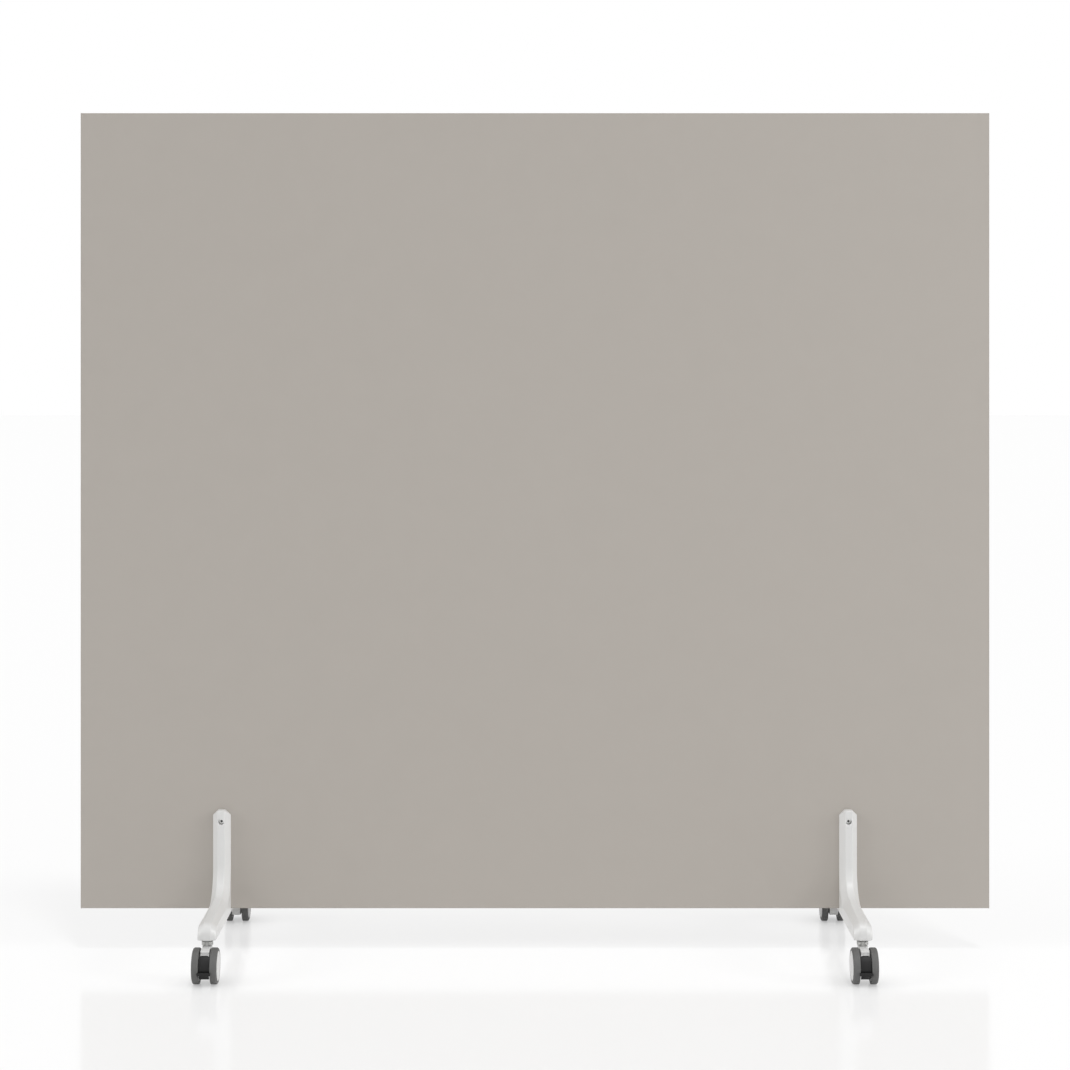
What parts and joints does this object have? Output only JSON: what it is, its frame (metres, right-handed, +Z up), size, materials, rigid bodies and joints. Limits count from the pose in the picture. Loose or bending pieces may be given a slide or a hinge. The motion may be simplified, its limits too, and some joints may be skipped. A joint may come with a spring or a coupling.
{
  "type": "room divider on wheels",
  "caption": "Free-standing room divider: a plain laminated board clamped in two cast saddle feet on braked twin-wheel casters.",
  "frame": {"origin": "on the floor under the middle of the board", "axes": "+X along the board's width, +Y from the front face to the back face, +Z up"},
  "size_m": [1.6, 0.5094, 1.4765],
  "materials": {
    "decor_laminate": "matt warm-grey melamine laminate",
    "edge_band": "matt warm-grey ABS edge band",
    "chipboard_core": "raw chipboard",
    "powder_coated_casting": "white fine-textured powder coat",
    "zinc_plated_steel": "bright zinc plate",
    "black_oxide_steel": "black oxide",
    "acetal_bush": "natural acetal",
    "grey_nylon": "moulded light-grey nylon",
    "grey_tread": "soft dark-grey tyre",
    "black_nylon": "moulded black glass-filled nylon"
  },
  "bodies": {
    "divider": {"clamp_screws": "black_oxide_steel", "edge_band_bottom": "edge_band", "edge_band_left": "edge_band", "edge_band_right": "edge_band", "edge_band_top": "edge_band", "front_left_stem": "zinc_plated_steel", "front_right_stem": "zinc_plated_steel", "left_foot": "powder_coated_casting", "panel_back_laminate": "decor_laminate", "panel_core": "chipboard_core", "panel_front_laminate": "decor_laminate", "rear_left_stem": "zinc_plated_steel", "rear_right_stem": "zinc_plated_steel", "right_foot": "powder_coated_casting", "sleeve_nuts": "black_oxide_steel"},
    "front_left_swivel": {"front_left_housing": "grey_nylon", "front_left_swivel_bush": "acetal_bush", "front_left_axle": "zinc_plated_steel", "front_left_pedal_pin": "zinc_plated_steel"},
    "front_left_pedal": {"front_left_brake_pedal": "black_nylon"},
    "front_left_inboard_wheel": {"front_left_inboard_hub": "grey_nylon", "front_left_inboard_tread": "grey_tread", "front_left_inboard_cap": "grey_nylon"},
    "front_left_outboard_wheel": {"front_left_outboard_hub": "grey_nylon", "front_left_outboard_tread": "grey_tread", "front_left_outboard_cap": "grey_nylon"},
    "front_right_swivel": {"front_right_housing": "grey_nylon", "front_right_swivel_bush": "acetal_bush", "front_right_axle": "zinc_plated_steel", "front_right_pedal_pin": "zinc_plated_steel"},
    "front_right_pedal": {"front_right_brake_pedal": "black_nylon"},
    "front_right_inboard_wheel": {"front_right_inboard_hub": "grey_nylon", "front_right_inboard_tread": "grey_tread", "front_right_inboard_cap": "grey_nylon"},
    "front_right_outboard_wheel": {"front_right_outboard_hub": "grey_nylon", "front_right_outboard_tread": "grey_tread", "front_right_outboard_cap": "grey_nylon"},
    "rear_left_swivel": {"rear_left_housing": "grey_nylon", "rear_left_swivel_bush": "acetal_bush", "rear_left_axle": "zinc_plated_steel", "rear_left_pedal_pin": "zinc_plated_steel"},
    "rear_left_pedal": {"rear_left_brake_pedal": "black_nylon"},
    "rear_left_inboard_wheel": {"rear_left_inboard_hub": "grey_nylon", "rear_left_inboard_tread": "grey_tread", "rear_left_inboard_cap": "grey_nylon"},
    "rear_left_outboard_wheel": {"rear_left_outboard_hub": "grey_nylon", "rear_left_outboard_tread": "grey_tread", "rear_left_outboard_cap": "grey_nylon"},
    "rear_right_swivel": {"rear_right_housing": "grey_nylon", "rear_right_swivel_bush": "acetal_bush", "rear_right_axle": "zinc_plated_steel", "rear_right_pedal_pin": "zinc_plated_steel"},
    "rear_right_pedal": {"rear_right_brake_pedal": "black_nylon"},
    "rear_right_inboard_wheel": {"rear_right_inboard_hub": "grey_nylon", "rear_right_inboard_tread": "grey_tread", "rear_right_inboard_cap": "grey_nylon"},
    "rear_right_outboard_wheel": {"rear_right_outboard_hub": "grey_nylon", "rear_right_outboard_tread": "grey_tread", "rear_right_outboard_cap": "grey_nylon"}
  },
  "joints": [
    {"name": "front_left_swivel_turn", "type": "hinge", "parent": "divider", "child": "front_left_swivel", "pos_m": [-0.551, -0.2005, 0.0592], "axis": [0, 0, 1], "continuous": true},
    {"name": "front_left_inboard_wheel_spin", "type": "hinge", "parent": "front_left_swivel", "child": "front_left_inboard_wheel", "pos_m": [-0.536, -0.2225, 0.03], "axis": [1, 0, 0], "continuous": true},
    {"name": "front_left_outboard_wheel_spin", "type": "hinge", "parent": "front_left_swivel", "child": "front_left_outboard_wheel", "pos_m": [-0.566, -0.2225, 0.03], "axis": [1, 0, 0], "continuous": true},
    {"name": "front_left_pedal_lift", "type": "hinge", "parent": "front_left_swivel", "child": "front_left_pedal", "pos_m": [-0.551, -0.2225, 0.0405], "axis": [-1, 0, 0], "range_deg": [0, 12]},
    {"name": "front_right_swivel_turn", "type": "hinge", "parent": "divider", "child": "front_right_swivel", "pos_m": [0.551, -0.2005, 0.0592], "axis": [0, 0, 1], "continuous": true},
    {"name": "front_right_inboard_wheel_spin", "type": "hinge", "parent": "front_right_swivel", "child": "front_right_inboard_wheel", "pos_m": [0.536, -0.2225, 0.03], "axis": [1, 0, 0], "continuous": true},
    {"name": "front_right_outboard_wheel_spin", "type": "hinge", "parent": "front_right_swivel", "child": "front_right_outboard_wheel", "pos_m": [0.566, -0.2225, 0.03], "axis": [1, 0, 0], "continuous": true},
    {"name": "front_right_pedal_lift", "type": "hinge", "parent": "front_right_swivel", "child": "front_right_pedal", "pos_m": [0.551, -0.2225, 0.0405], "axis": [-1, 0, 0], "range_deg": [0, 12]},
    {"name": "rear_left_swivel_turn", "type": "hinge", "parent": "divider", "child": "rear_left_swivel", "pos_m": [-0.551, 0.2005, 0.0592], "axis": [0, 0, 1], "continuous": true},
    {"name": "rear_left_inboard_wheel_spin", "type": "hinge", "parent": "rear_left_swivel", "child": "rear_left_inboard_wheel", "pos_m": [-0.536, 0.2225, 0.03], "axis": [1, 0, 0], "continuous": true},
    {"name": "rear_left_outboard_wheel_spin", "type": "hinge", "parent": "rear_left_swivel", "child": "rear_left_outboard_wheel", "pos_m": [-0.566, 0.2225, 0.03], "axis": [1, 0, 0], "continuous": true},
    {"name": "rear_left_pedal_lift", "type": "hinge", "parent": "rear_left_swivel", "child": "rear_left_pedal", "pos_m": [-0.551, 0.2225, 0.0405], "axis": [1, 0, 0], "range_deg": [0, 12]},
    {"name": "rear_right_swivel_turn", "type": "hinge", "parent": "divider", "child": "rear_right_swivel", "pos_m": [0.551, 0.2005, 0.0592], "axis": [0, 0, 1], "continuous": true},
    {"name": "rear_right_inboard_wheel_spin", "type": "hinge", "parent": "rear_right_swivel", "child": "rear_right_inboard_wheel", "pos_m": [0.536, 0.2225, 0.03], "axis": [1, 0, 0], "continuous": true},
    {"name": "rear_right_outboard_wheel_spin", "type": "hinge", "parent": "rear_right_swivel", "child": "rear_right_outboard_wheel", "pos_m": [0.566, 0.2225, 0.03], "axis": [1, 0, 0], "continuous": true},
    {"name": "rear_right_pedal_lift", "type": "hinge", "parent": "rear_right_swivel", "child": "rear_right_pedal", "pos_m": [0.551, 0.2225, 0.0405], "axis": [1, 0, 0], "range_deg": [0, 12]}
  ]
}
